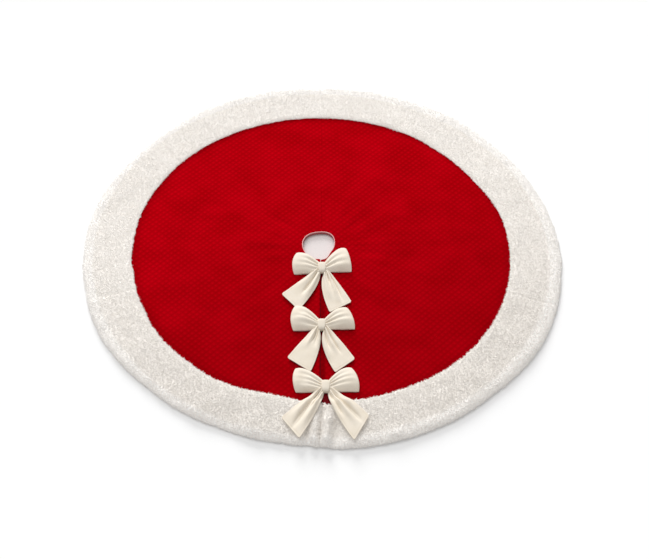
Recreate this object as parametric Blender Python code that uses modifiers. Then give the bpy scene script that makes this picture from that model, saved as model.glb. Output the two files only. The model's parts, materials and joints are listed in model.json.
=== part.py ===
# Round Christmas tree skirt: a quilted red top over wadding and lining, a wide faux fur border in
# five lengths, a slit from the trunk hole to the rim, and three cream bows sewn along the slit.
# The front fifths on each side of the slit are flaps that lift on the border's seams.
# Metres, +Z up. The origin is the middle of the skirt on the floor, and the slit points to -Y.

import math

import bmesh
import bpy
from mathutils import Matrix

# Overall sizes
SKIRT_RADIUS = 0.610
FUR_WIDTH = 0.131
HOLE_RADIUS = 0.046
FUR_LENGTHS = 5  # lengths of fur round the border, with the slit at one of their seams
SLIT_ANGLE = 270.0

# Clearances
GAP = 0.0003  # between pieces that lie on or against each other
SLIT_HALF_GAP = 0.00125  # from the slit's middle line to each flap's edge, room for the flaps to lift

# Layers, from the floor up
LINING_THICK = 0.0012
WADDING_THICK = 0.0046
TOP_THICK = 0.0026

# Fur border, as a section from its inner edge to its rim
FUR_HEIGHT = 0.017
FUR_INNER_LEVEL = 0.0098  # height of the inner edge, just proud of the quilted top
FUR_SHOULDER = 0.030  # width over which the pile rises from its inner edge
FUR_ROLL = 0.020  # width over which it rounds down to the rim
FUR_RIM_LEVEL = 0.004  # height of the widest line of the rim
FUR_HEM = 0.0113  # width turned under, down to the floor

# Trunk hole's binding
BINDING_WIDTH = 0.0025
BINDING_ROUND = 0.0008

# Closure under the slit's left edge
CLOSURE_WIDTH = 0.038  # each side of the slit, where lining and wadding stop for the facings
UNDERLAP = 0.034  # how far the placket reaches under the left flap
PLACKET_PAST_FUR = 0.013  # how far the placket runs under the fur's inner edge
PLACKET_BACK = 0.0065  # from the hole's edge to the placket's inner end
TAB_SIZE = 0.024
TAB_THICK = 0.0008

# Bows
BOW_SHIFTS = (0.002, 0.001, 0.011)  # how far right of the slit each bow is sewn, from the hole out
FIRST_BOW = 0.032  # from the hole's edge to the first bow's middle
LAST_BOW = 0.035  # from the fur's inner edge to the last bow's middle
LOOP_REACH = 0.075
LOOP_TIP_WIDTH = 0.076
LOOP_PUFF = 0.026
LOOP_RISE = 0.012  # how far the loops' tips point up from the knot
PINCH_DEPTH = 0.008
RIBBON_THICK = 0.0014
KNOT_WIDTH = 0.017
KNOT_LENGTH = 0.034
KNOT_ROUND = 0.003
TAIL_SPLAY = 30.0
TAIL_LENGTH = 0.116
TAIL_WIDTH = 0.066
TAIL_ROOT_WIDTH = 0.010
TAIL_SLANT = 0.012  # how much longer a tail is along its inner edge
TAIL_THICK = 0.003
TAIL_ROOT_LEVEL = 0.015  # underside of a tail where it leaves the knot
TAIL_TO_NEXT_BOW = 0.004
TAIL_OVER_FUR = 0.001

# Facets
RIM_STEPS = 100
HOLE_STEPS = 40
LOOP_STEPS = 24
ROUND_STEPS = 4

# Worked out from the sizes above
RED_RADIUS = SKIRT_RADIUS - FUR_WIDTH
PANEL_HOLE_RADIUS = HOLE_RADIUS + BINDING_WIDTH + GAP
FLAP_ANGLE = 360.0 / FUR_LENGTHS
WADDING_LEVEL = LINING_THICK + GAP
TOP_LEVEL_LOW = WADDING_LEVEL + WADDING_THICK + GAP
TOP_LEVEL = TOP_LEVEL_LOW + TOP_THICK
BOW_LEVEL = TOP_LEVEL + GAP
LEFT_HINGE = SLIT_ANGLE - FLAP_ANGLE
RIGHT_HINGE = SLIT_ANGLE + FLAP_ANGLE
BOW_COUNT = len(BOW_SHIFTS)
BOW_PITCH = (RED_RADIUS - LAST_BOW - HOLE_RADIUS - FIRST_BOW) / (BOW_COUNT - 1)

RED = (0.42, 0.002, 0.006, 1.0)
DARK_RED = (0.20, 0.003, 0.008, 1.0)
FUR_WHITE = (0.84, 0.81, 0.77, 1.0)
CREAM = (0.80, 0.73, 0.61, 1.0)
WADDING_WHITE = (0.85, 0.85, 0.83, 1.0)
LINING_RED = (0.30, 0.004, 0.010, 1.0)
TAPE_RED = (0.16, 0.004, 0.008, 1.0)


def collection(name):
    made = bpy.data.collections.new(name)
    bpy.context.scene.collection.children.link(made)
    return made


def cloth(name, colour, roughness):
    made = bpy.data.materials.new(name)
    made.use_nodes = True
    shader = made.node_tree.nodes["Principled BSDF"]
    shader.inputs["Base Color"].default_value = colour
    shader.inputs["Roughness"].default_value = roughness
    shader.inputs["Metallic"].default_value = 0.0
    return made


def finish(piece, material):
    piece.data.materials.clear()
    piece.data.materials.append(material)
    return piece


def as_cutter(piece):
    piece.hide_render = True
    piece.display_type = "WIRE"
    return piece


def weld(mesh):
    shape = bmesh.new()
    shape.from_mesh(mesh)
    bmesh.ops.remove_doubles(shape, verts=shape.verts, dist=0.00001)
    bmesh.ops.recalc_face_normals(shape, faces=shape.faces)
    shape.to_mesh(mesh)
    shape.free()


def flat_piece(name, outline, low, high, home):
    """A flat piece of one thickness, filled from its outline."""
    curve = bpy.data.curves.new(name, "CURVE")
    curve.dimensions = "2D"
    curve.fill_mode = "BOTH"
    curve.extrude = (high - low) / 2
    spline = curve.splines.new("POLY")
    spline.points.add(len(outline) - 1)
    for point, (x, y) in zip(spline.points, outline):
        point.co = (x, y, 0.0, 1.0)
    spline.use_cyclic_u = True
    drawn = bpy.data.objects.new(name + "_outline", curve)
    drawn.location.z = (low + high) / 2
    bpy.context.scene.collection.objects.link(drawn)
    bpy.context.view_layer.update()
    graph = bpy.context.evaluated_depsgraph_get()
    mesh = bpy.data.meshes.new_from_object(drawn.evaluated_get(graph))
    weld(mesh)
    piece = bpy.data.objects.new(name, mesh)
    piece.matrix_world = drawn.matrix_world
    home.objects.link(piece)
    bpy.data.objects.remove(drawn)
    return piece


def box_piece(name, x_range, y_range, z_range, home):
    shape = bmesh.new()
    bmesh.ops.create_cube(shape, size=1.0)
    size = [high - low for low, high in (x_range, y_range, z_range)]
    middle = [(high + low) / 2 for low, high in (x_range, y_range, z_range)]
    bmesh.ops.scale(shape, vec=size, verts=shape.verts)
    mesh = bpy.data.meshes.new(name)
    shape.to_mesh(mesh)
    shape.free()
    piece = bpy.data.objects.new(name, mesh)
    piece.location = middle
    home.objects.link(piece)
    return piece


def turned_ring(name, profile, steps, home):
    """A closed profile turned about Z; it runs over the top and down its outer side."""
    mesh = bpy.data.meshes.new(name)
    corners = len(profile)
    edges = [(i, (i + 1) % corners) for i in range(corners)]
    mesh.from_pydata([(r, 0.0, z) for r, z in profile], edges, [])
    ring = bpy.data.objects.new(name, mesh)
    home.objects.link(ring)
    turn = ring.modifiers.new("turn", "SCREW")
    turn.steps = steps
    turn.render_steps = steps
    turn.use_merge_vertices = True
    turn.merge_threshold = 0.00001
    return ring


def boolean(piece, cutter, operation):
    cut = piece.modifiers.new(cutter.name, "BOOLEAN")
    cut.operation = operation
    cut.solver = "EXACT"
    cut.object = cutter


def rectangle_profile(inner, outer, low, high):
    return [(inner, low), (inner, high), (outer, high), (outer, low)]


def quarter(middle_r, middle_z, radius_r, radius_z, start, end):
    """Points of a quarter ellipse between two angles, in degrees from outwards."""
    angles = [math.radians(start + (end - start) * i / ROUND_STEPS) for i in range(ROUND_STEPS + 1)]
    return [(middle_r + radius_r * math.cos(a), middle_z + radius_z * math.sin(a)) for a in angles]


def fur_profile():
    """The border's section: up the inner edge, over the pile, round the rim and under to the hem."""
    rise = FUR_HEIGHT - FUR_INNER_LEVEL
    drop = FUR_HEIGHT - FUR_RIM_LEVEL
    under = LINING_THICK + GAP
    hem = SKIRT_RADIUS - FUR_HEM
    foot = FUR_HEM / 2
    points = [(RED_RADIUS, under)]
    points += quarter(RED_RADIUS + FUR_SHOULDER, FUR_INNER_LEVEL, FUR_SHOULDER, rise, 180, 90)
    points += quarter(SKIRT_RADIUS - FUR_ROLL, FUR_RIM_LEVEL, FUR_ROLL, drop, 90, 0)
    points += quarter(SKIRT_RADIUS - foot, FUR_RIM_LEVEL, foot, FUR_RIM_LEVEL, 0, -90)[2::2]
    points += [(hem, 0.0), (hem, under)]
    return points


def binding_profile():
    inner = HOLE_RADIUS
    outer = HOLE_RADIUS + BINDING_WIDTH
    cut = BINDING_ROUND
    return [
        (inner, cut),
        (inner, TOP_LEVEL - cut),
        (inner + cut, TOP_LEVEL),
        (outer - cut, TOP_LEVEL),
        (outer, TOP_LEVEL - cut),
        (outer, cut),
        (outer - cut, 0.0),
        (inner + cut, 0.0),
    ]


def wedge_outline(start, end, start_gap, end_gap):
    """A wedge about Z between two angles, with each straight side set in by its gap."""
    a, b = math.radians(start), math.radians(end)
    start_side = (-math.sin(a), math.cos(a))
    end_side = (math.sin(b), -math.cos(b))
    det = start_side[0] * end_side[1] - start_side[1] * end_side[0]
    corner_x = (start_gap * end_side[1] - end_gap * start_side[1]) / det
    corner_y = (end_gap * start_side[0] - start_gap * end_side[0]) / det
    reach = 1.5 * SKIRT_RADIUS
    spans = math.ceil((end - start) / 36.0)
    outline = [(corner_x, corner_y)]
    for i in range(spans + 1):
        angle = a + (b - a) * i / spans
        outline.append((corner_x + reach * math.cos(angle), corner_y + reach * math.sin(angle)))
    return outline


def wedge(name, start, end, start_gap, end_gap, home):
    outline = wedge_outline(start, end, start_gap, end_gap)
    return as_cutter(flat_piece(name, outline, -FUR_HEIGHT, 2 * FUR_HEIGHT, home))


def build_panels(parts, cutters, wedges, looks):
    """Top, wadding, lining and hole binding, each in three pieces: the back and the two flaps."""
    closure = box_piece(
        "closure_cutter",
        (-CLOSURE_WIDTH, CLOSURE_WIDTH),
        (-RED_RADIUS - PLACKET_PAST_FUR - GAP, 0.0),
        (-FUR_HEIGHT, FUR_HEIGHT),
        cutters,
    )
    as_cutter(closure)
    lining_radius = SKIRT_RADIUS - FUR_HEM - GAP
    edge = RED_RADIUS - GAP
    layers = (
        ("red_top", "quilt", edge, TOP_LEVEL_LOW, TOP_LEVEL, False),
        ("wadding", "wadding", edge, WADDING_LEVEL, TOP_LEVEL_LOW - GAP, True),
        ("lining", "lining", lining_radius, 0.0, LINING_THICK, True),
    )
    for side, sector in wedges.items():
        for layer, look, outer, low, high, stops_at_closure in layers:
            profile = rectangle_profile(PANEL_HOLE_RADIUS, outer, low, high)
            panel = turned_ring(f"{layer}_{side}", profile, RIM_STEPS, parts)
            boolean(panel, sector, "INTERSECT")
            if stops_at_closure and side != "back":
                boolean(panel, closure, "DIFFERENCE")
            finish(panel, looks[look])
        binding = turned_ring(f"hole_binding_{side}", binding_profile(), HOLE_STEPS, parts)
        boolean(binding, sector, "INTERSECT")
        finish(binding, looks["binding"])


def build_fur(parts, cutters, looks):
    """The border's five lengths, anticlockwise from the right flap's seam."""
    names = ("fur_back_right", "fur_back", "fur_back_left", "fur_front_left", "fur_front_right")
    start = RIGHT_HINGE - 360.0
    for i, name in enumerate(names):
        low = start + i * FLAP_ANGLE
        start_gap = SLIT_HALF_GAP if name == "fur_front_right" else GAP
        end_gap = SLIT_HALF_GAP if name == "fur_front_left" else GAP
        sector = wedge(f"{name}_wedge", low, low + FLAP_ANGLE, start_gap, end_gap, cutters)
        length = turned_ring(name, fur_profile(), RIM_STEPS, parts)
        boolean(length, sector, "INTERSECT")
        length.data.shade_smooth()
        finish(length, looks["fur"])


def bow_places():
    return [HOLE_RADIUS + FIRST_BOW + i * BOW_PITCH for i in range(BOW_COUNT)]


def build_closure(parts, looks):
    """The facings, the placket under the left flap, and its hook tabs and loop patches."""
    inner_end = -PANEL_HOLE_RADIUS - 3 * GAP
    facing_end = GAP + GAP - math.sqrt(RED_RADIUS**2 - CLOSURE_WIDTH**2)
    facing_edge = CLOSURE_WIDTH - GAP
    patch_level = LINING_THICK + GAP
    tab_level = patch_level + TAB_THICK + GAP
    left_facing_level = tab_level + TAB_THICK + GAP
    facing_top = TOP_LEVEL_LOW - GAP
    run = (facing_end, inner_end)

    left_x = (-facing_edge, -SLIT_HALF_GAP)
    left = box_piece("slit_facing_left", left_x, run, (left_facing_level, facing_top), parts)
    finish(left, looks["facing"])

    right_x = (SLIT_HALF_GAP, facing_edge)
    right = box_piece("slit_facing_right", right_x, run, (patch_level, facing_top), parts)
    finish(right, looks["facing"])

    placket_run = (-RED_RADIUS - PLACKET_PAST_FUR, -HOLE_RADIUS - PLACKET_BACK)
    placket = box_piece(
        "underlap_placket", (-UNDERLAP, facing_edge), placket_run, (0.0, LINING_THICK), parts
    )
    finish(placket, looks["placket"])

    tab_middle = -(UNDERLAP + SLIT_HALF_GAP) / 2
    tab_x = (tab_middle - TAB_SIZE / 2, tab_middle + TAB_SIZE / 2)
    for number, place in enumerate(bow_places(), start=1):
        tab_y = (-place - TAB_SIZE / 2, -place + TAB_SIZE / 2)
        patch = box_piece(
            f"loop_patch_{number}", tab_x, tab_y, (patch_level, patch_level + TAB_THICK), parts
        )
        finish(patch, looks["tape"])
        tab = box_piece(
            f"hook_tab_{number}", tab_x, tab_y, (tab_level, tab_level + TAB_THICK), parts
        )
        finish(tab, looks["tape"])


def shape_loops(shape):
    """Turns a unit tube along Z into the bow's band: pinched at the knot, puffed at its tips."""
    flat = KNOT_WIDTH / 2 + GAP
    pinch_half = KNOT_LENGTH / 2 - RIBBON_THICK - KNOT_ROUND
    middle_low = BOW_LEVEL + RIBBON_THICK + GAP
    for corner in shape.verts:
        along, up, across = corner.co.x, corner.co.y, corner.co.z
        x = math.copysign(LOOP_REACH * abs(along) ** 1.6, along)
        open_share = max(0.0, (abs(x) - flat) / (LOOP_REACH - flat))
        half = pinch_half + (LOOP_TIP_WIDTH / 2 - pinch_half) * open_share**0.8
        depth = PINCH_DEPTH + (LOOP_PUFF - PINCH_DEPTH) * math.sin(open_share * math.pi / 2)
        low = middle_low + (BOW_LEVEL - middle_low) * open_share
        height = math.copysign(abs(up) ** 0.5, up) if abs(up) > 0.0001 else 0.0
        y = across * half + LOOP_RISE * open_share**2
        corner.co = (x, y, low + depth * (1.0 + height) / 2)


def build_loops(name, shift, place, parts, looks):
    shape = bmesh.new()
    bmesh.ops.create_cone(
        shape, cap_ends=False, segments=LOOP_STEPS, radius1=1.0, radius2=1.0, depth=2.0
    )
    lengthways = [e for e in shape.edges if abs(e.verts[0].co.z - e.verts[1].co.z) > 1.0]
    bmesh.ops.subdivide_edges(shape, edges=lengthways, cuts=3, use_grid_fill=True)
    shape_loops(shape)
    bmesh.ops.reverse_faces(shape, faces=shape.faces)  # the tube's length now lies along Y
    mesh = bpy.data.meshes.new(name)
    shape.to_mesh(mesh)
    shape.free()
    loops = bpy.data.objects.new(name, mesh)
    loops.location = (shift, -place, 0.0)
    parts.objects.link(loops)
    wall = loops.modifiers.new("ribbon", "SOLIDIFY")
    wall.thickness = RIBBON_THICK
    wall.offset = -1.0
    loops.data.shade_smooth()
    finish(loops, looks["bow"])


def build_knot(name, shift, place, parts, looks):
    """The band round the pinched middle: a rounded box tube, open to both loops."""
    height = 2 * (RIBBON_THICK + GAP) + PINCH_DEPTH
    shape = bmesh.new()
    bmesh.ops.create_cube(shape, size=1.0)
    bmesh.ops.scale(shape, vec=(KNOT_WIDTH, KNOT_LENGTH, height), verts=shape.verts)
    ends = [f for f in shape.faces if abs(f.normal.x) > 0.5]
    bmesh.ops.delete(shape, geom=ends, context="FACES_ONLY")
    lengthways = [e for e in shape.edges if len(e.link_faces) == 2]
    bmesh.ops.bevel(
        shape, geom=lengthways, offset=KNOT_ROUND, segments=3, profile=0.5, affect="EDGES"
    )
    mesh = bpy.data.meshes.new(name)
    shape.to_mesh(mesh)
    shape.free()
    knot = bpy.data.objects.new(name, mesh)
    knot.location = (shift, -place, BOW_LEVEL + height / 2)
    parts.objects.link(knot)
    wall = knot.modifiers.new("ribbon", "SOLIDIFY")
    wall.thickness = RIBBON_THICK
    wall.offset = -1.0
    finish(knot, looks["bow"])


def tail_facts(place, is_last):
    """How long a tail is, and its fall per metre: upper tails stop short of the next bow."""
    splay = math.radians(TAIL_SPLAY)
    root = place + KNOT_LENGTH / 2 + GAP + TAIL_ROOT_WIDTH / 2 * math.sin(splay)
    if is_last:
        fur_top = RED_RADIUS + FUR_SHOULDER - root
        rise = FUR_HEIGHT + TAIL_OVER_FUR - TAIL_ROOT_LEVEL
        return root, TAIL_LENGTH, -rise / (fur_top / math.cos(splay))
    next_bow = place + BOW_PITCH - LOOP_TIP_WIDTH / 2 - LOOP_RISE - TAIL_TO_NEXT_BOW
    longest = (next_bow - root - TAIL_WIDTH / 2 * math.sin(splay)) / math.cos(splay)
    length = longest - TAIL_SLANT / 2
    return root, length, (TAIL_ROOT_LEVEL - BOW_LEVEL - GAP) / (length + TAIL_SLANT / 2)


def build_tail(name, shift, place, is_last, side, parts, looks):
    """side is -1 for the left tail and +1 for the right; the object's origin is on its hinge."""
    root, length, fall = tail_facts(place, is_last)
    splay = math.radians(TAIL_SPLAY)
    half_root = TAIL_ROOT_WIDTH / 2
    outline = [
        (-half_root, 0.0),
        (-TAIL_WIDTH / 2, -length - side * TAIL_SLANT / 2),
        (TAIL_WIDTH / 2, -length + side * TAIL_SLANT / 2),
        (half_root, 0.0),
    ]
    tail = flat_piece(name, outline, -TAIL_THICK, 0.0, parts)
    tail.data.transform(tail.matrix_world)
    turn = Matrix.Rotation(side * splay, 4, "Z") @ Matrix.Rotation(math.atan(fall), 4, "X")
    root_x = shift + side * (half_root * math.cos(splay) + GAP)
    place_at = Matrix.Translation((root_x, -root, TAIL_ROOT_LEVEL + TAIL_THICK))
    tail.matrix_world = place_at @ turn
    finish(tail, looks["bow"])


def build_bows(parts, looks):
    for number, (shift, place) in enumerate(zip(BOW_SHIFTS, bow_places()), start=1):
        build_loops(f"bow_{number}_loops", shift, place, parts, looks)
        build_knot(f"bow_{number}_knot", shift, place, parts, looks)
        for side, word in ((-1, "left"), (1, "right")):
            name = f"bow_{number}_tail_{word}"
            build_tail(name, shift, place, number == BOW_COUNT, side, parts, looks)


def main():
    for thing in list(bpy.data.objects):
        bpy.data.objects.remove(thing)
    parts = collection("tree_skirt")
    cutters = collection("cutters")
    looks = {
        "quilt": cloth("red_quilt", RED, 0.80),
        "wadding": cloth("wadding", WADDING_WHITE, 0.95),
        "lining": cloth("lining", LINING_RED, 0.85),
        "binding": cloth("binding", CREAM, 0.80),
        "fur": cloth("faux_fur", FUR_WHITE, 0.95),
        "facing": cloth("facing", DARK_RED, 0.85),
        "placket": cloth("placket", DARK_RED, 0.80),
        "tape": cloth("hook_and_loop", TAPE_RED, 0.70),
        "bow": cloth("bow_ribbon", CREAM, 0.75),
    }
    back_start = RIGHT_HINGE - 360.0
    wedges = {
        "back": wedge("back_wedge", back_start, LEFT_HINGE, GAP, GAP, cutters),
        "left": wedge("left_wedge", LEFT_HINGE, SLIT_ANGLE, GAP, SLIT_HALF_GAP, cutters),
        "right": wedge("right_wedge", SLIT_ANGLE, RIGHT_HINGE, SLIT_HALF_GAP, GAP, cutters),
    }
    build_panels(parts, cutters, wedges, looks)
    build_fur(parts, cutters, looks)
    build_closure(parts, looks)
    build_bows(parts, looks)


main()
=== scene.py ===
import json
import math

import bmesh
import bpy
import numpy as np
from mathutils import Matrix, Vector, noise


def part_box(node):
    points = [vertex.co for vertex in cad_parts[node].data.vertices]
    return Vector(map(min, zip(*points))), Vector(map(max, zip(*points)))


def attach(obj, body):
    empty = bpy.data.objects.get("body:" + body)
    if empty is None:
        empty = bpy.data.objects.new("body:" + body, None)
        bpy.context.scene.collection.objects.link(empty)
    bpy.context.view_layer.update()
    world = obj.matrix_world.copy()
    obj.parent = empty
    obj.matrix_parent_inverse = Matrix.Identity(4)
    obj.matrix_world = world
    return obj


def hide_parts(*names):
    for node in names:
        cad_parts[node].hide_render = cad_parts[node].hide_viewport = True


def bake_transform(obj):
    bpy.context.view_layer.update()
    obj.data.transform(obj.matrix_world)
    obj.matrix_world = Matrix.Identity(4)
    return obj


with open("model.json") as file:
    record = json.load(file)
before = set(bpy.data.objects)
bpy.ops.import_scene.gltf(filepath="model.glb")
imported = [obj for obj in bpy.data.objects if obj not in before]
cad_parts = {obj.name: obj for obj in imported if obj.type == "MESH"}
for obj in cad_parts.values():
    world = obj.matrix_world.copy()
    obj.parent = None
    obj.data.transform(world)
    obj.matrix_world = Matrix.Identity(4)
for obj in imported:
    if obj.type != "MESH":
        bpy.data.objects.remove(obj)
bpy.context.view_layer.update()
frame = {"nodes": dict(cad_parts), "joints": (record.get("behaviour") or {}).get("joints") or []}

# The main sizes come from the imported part.
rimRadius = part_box("fur_back")[1].y
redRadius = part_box("red_top_back")[1].y
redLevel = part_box("red_top_back")[1].z
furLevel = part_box("fur_back")[1].z
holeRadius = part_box("hole_binding_back")[1].y - 0.0025
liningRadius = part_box("lining_back")[1].y
hingeAxis = {j["child"]: Vector(j["axis"]) for j in frame["joints"]}
hingePlace = {j["child"]: Vector(j["pos_m"]) for j in frame["joints"]}
slitEdge = {"left": -0.0026, "right": -0.0014}  # where the two red halves end at the slit
slitReach = 0.3  # how far out a half's last spoke meets its slit edge
weldWithin = 1e-6


# small helpers

class Wires:
    # adds nodes to one tree and joins them up
    def __init__(self, tree):
        self.tree = tree

    def plug(self, value, socket):
        if isinstance(value, bpy.types.NodeSocket):
            self.tree.links.new(value, socket)
        else:
            socket.default_value = value

    def node(self, kind, inputs=None, **settings):
        made = self.tree.nodes.new(kind)
        for key, value in settings.items():
            setattr(made, key, value)
        for key, value in (inputs or {}).items():
            socket = made.inputs[key] if isinstance(key, int) else next(
                s for s in made.inputs if s.name == key and s.enabled
            )
            self.plug(value, socket)
        return made

    def math(self, operation, *values):
        made = self.node("ShaderNodeMath", operation=operation)
        for value, socket in zip(values, made.inputs):
            self.plug(value, socket)
        return made.outputs[0]

    def vector(self, operation, *values):
        made = self.node("ShaderNodeVectorMath", operation=operation)
        for value, socket in zip(values, made.inputs):
            self.plug(value, socket)
        return made.outputs["Value" if operation in ("LENGTH", "DOT_PRODUCT", "DISTANCE") else "Vector"]

    def scaled(self, value, factor):
        made = self.node("ShaderNodeVectorMath", operation="SCALE")
        self.plug(value, made.inputs[0])
        self.plug(factor, made.inputs["Scale"])
        return made.outputs["Vector"]

    def times(self, first, *others):
        for other in others:
            first = self.math("MULTIPLY", first, other)
        return first

    def timesPlus(self, value, factor, offset):
        return self.math("MULTIPLY_ADD", value, factor, offset)

    def plus(self, first, *others):
        for other in others:
            first = self.math("ADD", first, other)
        return first

    def minus(self, first, *others):
        for other in others:
            first = self.math("SUBTRACT", first, other)
        return first

    def position(self):
        return self.node("GeometryNodeInputPosition").outputs[0]

    def parts(self, value):
        return self.node("ShaderNodeSeparateXYZ", {"Vector": value}).outputs

    def joined(self, x=0.0, y=0.0, z=0.0):
        return self.node("ShaderNodeCombineXYZ", {"X": x, "Y": y, "Z": z}).outputs[0]

    def finishCloth(self, cloth, material, result):
        for kind in ("RealizeInstances", "SetShadeSmooth"):
            cloth = self.node("GeometryNode" + kind, {"Geometry": cloth}).outputs[0]
        painted = self.node("GeometryNodeSetMaterial", {"Geometry": cloth, "Material": material})
        self.plug(painted.outputs[0], result["Geometry"])

    def remap(self, value, low, high, newLow=0.0, newHigh=1.0, smooth=True):
        made = self.node(
            "ShaderNodeMapRange",
            {"Value": value, "From Min": low, "From Max": high, "To Min": newLow, "To Max": newHigh},
            interpolation_type="SMOOTHSTEP" if smooth else "LINEAR",
        )
        return made.outputs[0]

    def mixed(self, share, first, second):
        made = self.tree.nodes.new("ShaderNodeMix")
        made.data_type = "RGBA"
        for value, place in ((share, 0), (first, 6), (second, 7)):
            self.plug(value, made.inputs[place])
        return made.outputs[2]

    def grain(self, place, scale, detail=2.0, rough=0.5):
        made = self.node(
            "ShaderNodeTexNoise", {"Vector": place, "Scale": scale, "Detail": detail, "Roughness": rough}
        )
        return made.outputs[0]


def newGroup(name, kind, inputs, outputs):
    # an input is given by its first value, or by its type where it has none
    tree = bpy.data.node_groups.new(name, kind)
    for label, value in inputs.items():
        typed = value if isinstance(value, str) else "Int" if isinstance(value, int) else "Float"
        made = tree.interface.new_socket(label, in_out="INPUT", socket_type="NodeSocket" + typed)
        if typed != value:
            made.default_value = value
    for label, typed in outputs.items():
        tree.interface.new_socket(label, in_out="OUTPUT", socket_type="NodeSocket" + typed)
    return Wires(tree), tree.nodes.new("NodeGroupInput").outputs, tree.nodes.new("NodeGroupOutput").inputs


def newObject(name, mesh):
    made = bpy.data.objects.new(name, mesh)
    bpy.context.scene.collection.objects.link(made)
    return made


def settle(piece):
    # modifiers become a plain mesh
    graph = bpy.context.evaluated_depsgraph_get()
    mesh = bpy.data.meshes.new_from_object(
        piece.evaluated_get(graph), preserve_all_data_layers=True, depsgraph=graph
    )
    piece.modifiers.clear()
    piece.data = mesh
    mesh.name = piece.name
    return piece


def grow(name, tree, settings, mesh=None):
    # a Geometry Nodes tree run once on a new object
    piece = newObject(name, mesh or bpy.data.meshes.new(name))
    modifier = piece.modifiers.new(tree.name, "NODES")
    modifier.node_group = tree
    found = {i.name: i.identifier for i in tree.interface.items_tree if i.in_out == "INPUT"}
    for label, value in settings.items():
        modifier[found[label]] = value
    return settle(piece)


def meshFrom(name, points, faces, material, smooth=True):
    mesh = bpy.data.meshes.new(name)
    mesh.from_pydata([tuple(map(float, p)) for p in points], [], faces)
    mesh.validate()
    mesh.materials.append(material)
    if smooth:
        mesh.shade_smooth()
    keepRest(mesh)
    return mesh


def keepRest(mesh):
    # the materials read where a point lies at rest, so a pattern doesn't slide when cloth bends
    flat = np.zeros(len(mesh.vertices) * 3, np.float32)
    mesh.vertices.foreach_get("co", flat)
    kept = mesh.attributes.get("restPlace") or mesh.attributes.new("restPlace", "FLOAT_VECTOR", "POINT")
    kept.data.foreach_set("vector", flat)


def facesOutward(mesh, weld=0.0):
    work = bmesh.new()
    work.from_mesh(mesh)
    if weld:
        bmesh.ops.remove_doubles(work, verts=work.verts, dist=weld)
    bmesh.ops.recalc_face_normals(work, faces=work.faces)
    work.to_mesh(mesh)
    work.free()


def gridFaces(rows, columns, closeColumns=False, start=0):
    faces = []
    for i in range(rows - 1):
        for j in range(columns if closeColumns else columns - 1):
            k = (j + 1) % columns
            faces.append((start + i * columns + j, start + (i + 1) * columns + j,
                          start + (i + 1) * columns + k, start + i * columns + k))
    return faces


def tubeEnds(rows, columns):
    # the two faces that close a tube made by gridFaces
    first = (rows - 1) * columns
    return [tuple(range(columns)), tuple(range(first, first + columns))[::-1]]


def lump(points, size, seed=0.0):
    # smooth noise from -1 to 1 at each point
    shifted = np.asarray(points) / size + np.array([seed, -seed, 0.0])
    return np.array([noise.noise(Vector(p)) for p in shifted])


def smoothStep(value, low, high):
    t = np.clip((value - low) / (high - low), 0, 1)
    return t * t * (3 - 2 * t)


def bumps(angle, listed):
    # soft bumps round a circle: (angle in degrees, height, half width in degrees)
    total = np.zeros_like(angle)
    for middle, height, spread in listed:
        away = (angle - middle + 180) % 360 - 180
        total = total + height * np.exp(-((away / spread) ** 2))
    return total


def awayFromHinge(body):
    # level direction from a hinge towards the part that lifts
    axis = hingeAxis[body]
    way = Vector((axis.y, -axis.x, 0)).normalized()
    return -way if way.y > 0 else way


def bendAt(piece):
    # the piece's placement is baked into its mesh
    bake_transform(piece)


# materials

print("materials")

grainWires, grainIn, grainOut = newGroup(
    "softGrain", "ShaderNodeTree", {"Place": "Vector", "Size": 0.001}, {"Height": "Float", "Shade": "Float"})
inverse = grainWires.math("DIVIDE", 1.0, grainIn["Size"])
fine = grainWires.grain(grainIn["Place"], inverse, 3.0, 0.6)
cells = grainWires.node("ShaderNodeTexVoronoi", {"Vector": grainIn["Place"], "Scale": inverse})
grainWires.plug(grainWires.timesPlus(cells.outputs[0], -0.5, fine), grainOut["Height"])
grainWires.plug(grainWires.grain(grainIn["Place"], grainWires.times(inverse, 0.12), 2.0), grainOut["Shade"])

threadWires, threadIn, threadOut = newGroup(
    "plainWeave", "ShaderNodeTree", {"Place": "Vector", "Pitch": 0.0008}, {"Height": "Float"})
threads = []
for way in threadWires.parts(threadIn["Place"])[:2]:
    turned = threadWires.math("DIVIDE", threadWires.times(way, math.tau), threadIn["Pitch"])
    threads.append(threadWires.math("SINE", turned))
threadWires.plug(threadWires.timesPlus(threadWires.times(*threads), 0.5, 0.5), threadOut["Height"])

wearWires, wearIn, wearOut = newGroup(
    "softWear", "ShaderNodeTree", {"Place": "Vector", "Size": 0.08}, {"Shade": "Float"})
broad = wearWires.grain(wearIn["Place"], wearWires.math("DIVIDE", 1.0, wearIn["Size"]), 3.0, 0.55)
wearWires.plug(wearWires.remap(broad, 0.3, 0.7), wearOut["Shade"])


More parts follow.
